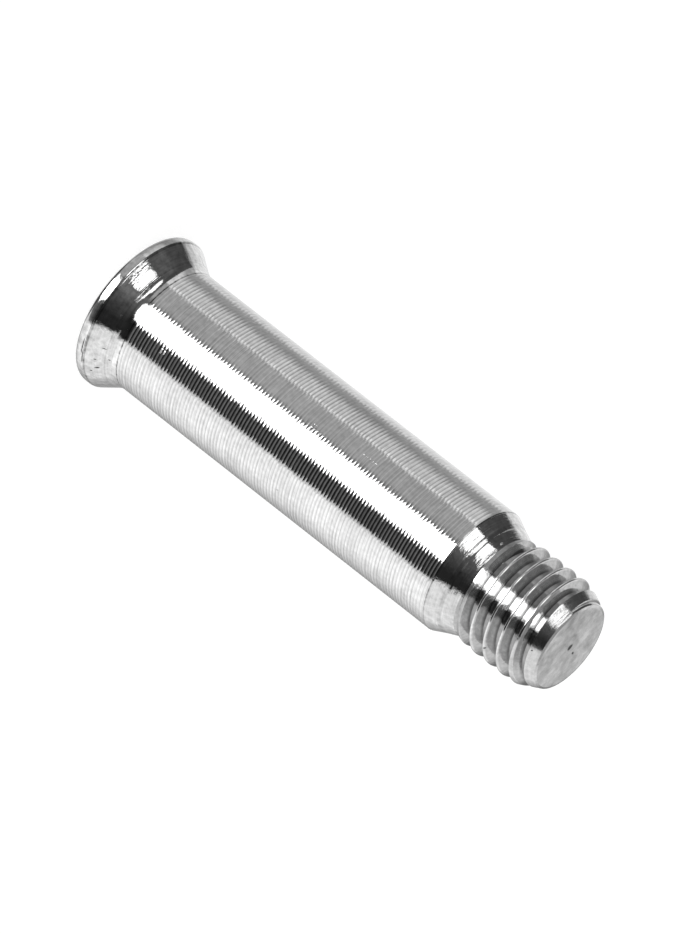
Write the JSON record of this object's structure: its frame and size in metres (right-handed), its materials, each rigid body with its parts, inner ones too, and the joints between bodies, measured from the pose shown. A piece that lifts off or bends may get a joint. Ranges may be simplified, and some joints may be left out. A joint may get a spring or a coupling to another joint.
{
  "type": "inline skate axle",
  "caption": "One-piece turned steel axle: low conical head with a hexagon socket, plain shank for bearings, tapered shoulder and a threaded end.",
  "frame": {"origin": "centre of the head face", "axes": "+Z along the axis, from the head to the threaded end; the axle stands on its head"},
  "size_m": [0.0098, 0.0098, 0.034],
  "materials": {
    "steel": "bright turned, with fine turning marks"
  },
  "bodies": {
    "root": {"axle": "steel"}
  },
  "joints": []
}
